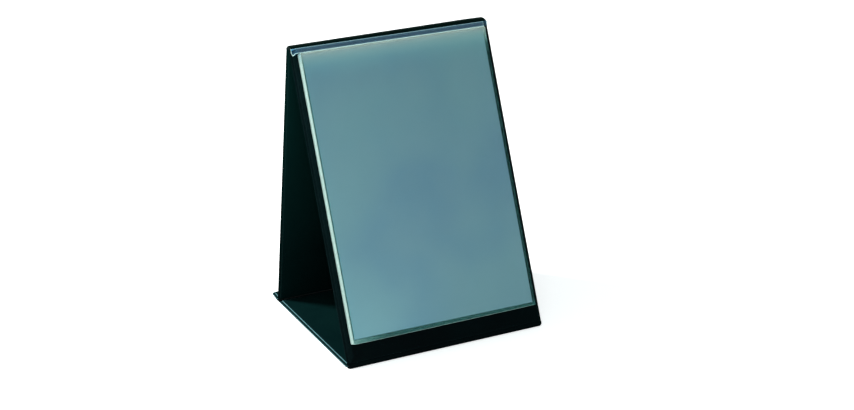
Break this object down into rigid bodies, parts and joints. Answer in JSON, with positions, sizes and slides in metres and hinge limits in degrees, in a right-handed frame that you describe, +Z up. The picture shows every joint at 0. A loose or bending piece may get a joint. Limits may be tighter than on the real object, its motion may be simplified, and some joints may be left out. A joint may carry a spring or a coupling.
{
  "type": "tabletop presentation easel",
  "caption": "Folding tabletop easel of vinyl-covered boards: an A-frame whose front panel carries a stack of clear pockets that flip over its top edge.",
  "frame": {"origin": "bottom centre of the standing easel's box, on the table", "axes": "+X to the right across the boards, the pockets face -Y, +Z up"},
  "size_m": [0.23, 0.2068, 0.3088],
  "materials": {
    "black_vinyl": "fine leather-grained black vinyl, satin",
    "chipboard": "grey-brown pressed board",
    "clear_film": "clear soft vinyl film, glossy",
    "insert_sheet": "blank teal-grey card sheet, matt"
  },
  "bodies": {
    "base": {"base_board": "chipboard", "base_cover_vinyl": "black_vinyl", "base_lining_vinyl": "black_vinyl", "front_hinge_vinyl": "black_vinyl", "rear_crease_vinyl": "black_vinyl"},
    "stop_flap": {"stop_flap_board": "chipboard", "stop_flap_cover_vinyl": "black_vinyl", "stop_flap_lining_vinyl": "black_vinyl"},
    "front_panel": {"front_board": "chipboard", "front_cover_vinyl": "black_vinyl", "front_lining_vinyl": "black_vinyl", "top_hinge_vinyl": "black_vinyl", "film_weld_strip": "clear_film"},
    "back_panel": {"back_board": "chipboard", "back_cover_vinyl": "black_vinyl", "back_lining_vinyl": "black_vinyl"},
    "hinge_film": {"page_hinge_film": "clear_film"},
    "page_01": {"pocket_01": "clear_film", "insert_01": "insert_sheet"},
    "page_02": {"pocket_02": "clear_film", "insert_02": "insert_sheet"},
    "page_03": {"pocket_03": "clear_film", "insert_03": "insert_sheet"},
    "page_04": {"pocket_04": "clear_film", "insert_04": "insert_sheet"},
    "page_05": {"pocket_05": "clear_film", "insert_05": "insert_sheet"},
    "page_06": {"pocket_06": "clear_film", "insert_06": "insert_sheet"},
    "page_07": {"pocket_07": "clear_film", "insert_07": "insert_sheet"},
    "page_08": {"pocket_08": "clear_film", "insert_08": "insert_sheet"},
    "page_09": {"pocket_09": "clear_film", "insert_09": "insert_sheet"},
    "page_10": {"pocket_10": "clear_film", "insert_10": "insert_sheet"}
  },
  "joints": [
    {"name": "front_panel_fold", "type": "hinge", "parent": "base", "child": "front_panel", "pos_m": [0, -0.1019, 0.0015], "axis": [1, 0, 0], "range_deg": [0, 85]},
    {"name": "back_panel_fold", "type": "hinge", "parent": "front_panel", "child": "back_panel", "pos_m": [0, 0.03261, 0.30625], "axis": [1, 0, 0], "range_deg": [-32.4, 0]},
    {"name": "stop_flap_crease", "type": "hinge", "parent": "base", "child": "stop_flap", "pos_m": [0, 0.08817, 0.0008], "axis": [1, 0, 0], "range_deg": [-8, 60]},
    {"name": "hinge_film_swing", "type": "hinge", "parent": "front_panel", "child": "hinge_film", "pos_m": [0, 0.02748, 0.30824], "axis": [-1, 0, 0], "range_deg": [0, 175]},
    {"name": "page_01_flip", "type": "hinge", "parent": "hinge_film", "child": "page_01", "pos_m": [0, 0.01701, 0.30545], "axis": [-1, 0, 0], "range_deg": [0, 149]},
    {"name": "page_02_flip", "type": "hinge", "parent": "hinge_film", "child": "page_02", "pos_m": [0, 0.01701, 0.30545], "axis": [-1, 0, 0], "range_deg": [0, 148.41]},
    {"name": "page_03_flip", "type": "hinge", "parent": "hinge_film", "child": "page_03", "pos_m": [0, 0.01701, 0.30545], "axis": [-1, 0, 0], "range_deg": [0, 147.81]},
    {"name": "page_04_flip", "type": "hinge", "parent": "hinge_film", "child": "page_04", "pos_m": [0, 0.01701, 0.30545], "axis": [-1, 0, 0], "range_deg": [0, 147.21]},
    {"name": "page_05_flip", "type": "hinge", "parent": "hinge_film", "child": "page_05", "pos_m": [0, 0.01701, 0.30545], "axis": [-1, 0, 0], "range_deg": [0, 146.61]},
    {"name": "page_06_flip", "type": "hinge", "parent": "hinge_film", "child": "page_06", "pos_m": [0, 0.01701, 0.30545], "axis": [-1, 0, 0], "range_deg": [0, 146.01]},
    {"name": "page_07_flip", "type": "hinge", "parent": "hinge_film", "child": "page_07", "pos_m": [0, 0.01701, 0.30545], "axis": [-1, 0, 0], "range_deg": [0, 145.41]},
    {"name": "page_08_flip", "type": "hinge", "parent": "hinge_film", "child": "page_08", "pos_m": [0, 0.01701, 0.30545], "axis": [-1, 0, 0], "range_deg": [0, 144.81]},
    {"name": "page_09_flip", "type": "hinge", "parent": "hinge_film", "child": "page_09", "pos_m": [0, 0.01701, 0.30545], "axis": [-1, 0, 0], "range_deg": [0, 144.21]},
    {"name": "page_10_flip", "type": "hinge", "parent": "hinge_film", "child": "page_10", "pos_m": [0, 0.01701, 0.30545], "axis": [-1, 0, 0], "range_deg": [0, 143.61]}
  ],
  "couplings": [
    {"joint": "back_panel_fold", "follows": "front_panel_fold", "ratio": -0.38118},
    {"joint": "page_02_flip", "follows": "page_01_flip", "ratio": 0.99597},
    {"joint": "page_03_flip", "follows": "page_01_flip", "ratio": 0.99195},
    {"joint": "page_04_flip", "follows": "page_01_flip", "ratio": 0.98792},
    {"joint": "page_05_flip", "follows": "page_01_flip", "ratio": 0.98389},
    {"joint": "page_06_flip", "follows": "page_01_flip", "ratio": 0.97987},
    {"joint": "page_07_flip", "follows": "page_01_flip", "ratio": 0.97584},
    {"joint": "page_08_flip", "follows": "page_01_flip", "ratio": 0.97181},
    {"joint": "page_09_flip", "follows": "page_01_flip", "ratio": 0.96779},
    {"joint": "page_10_flip", "follows": "page_01_flip", "ratio": 0.96376}
  ]
}
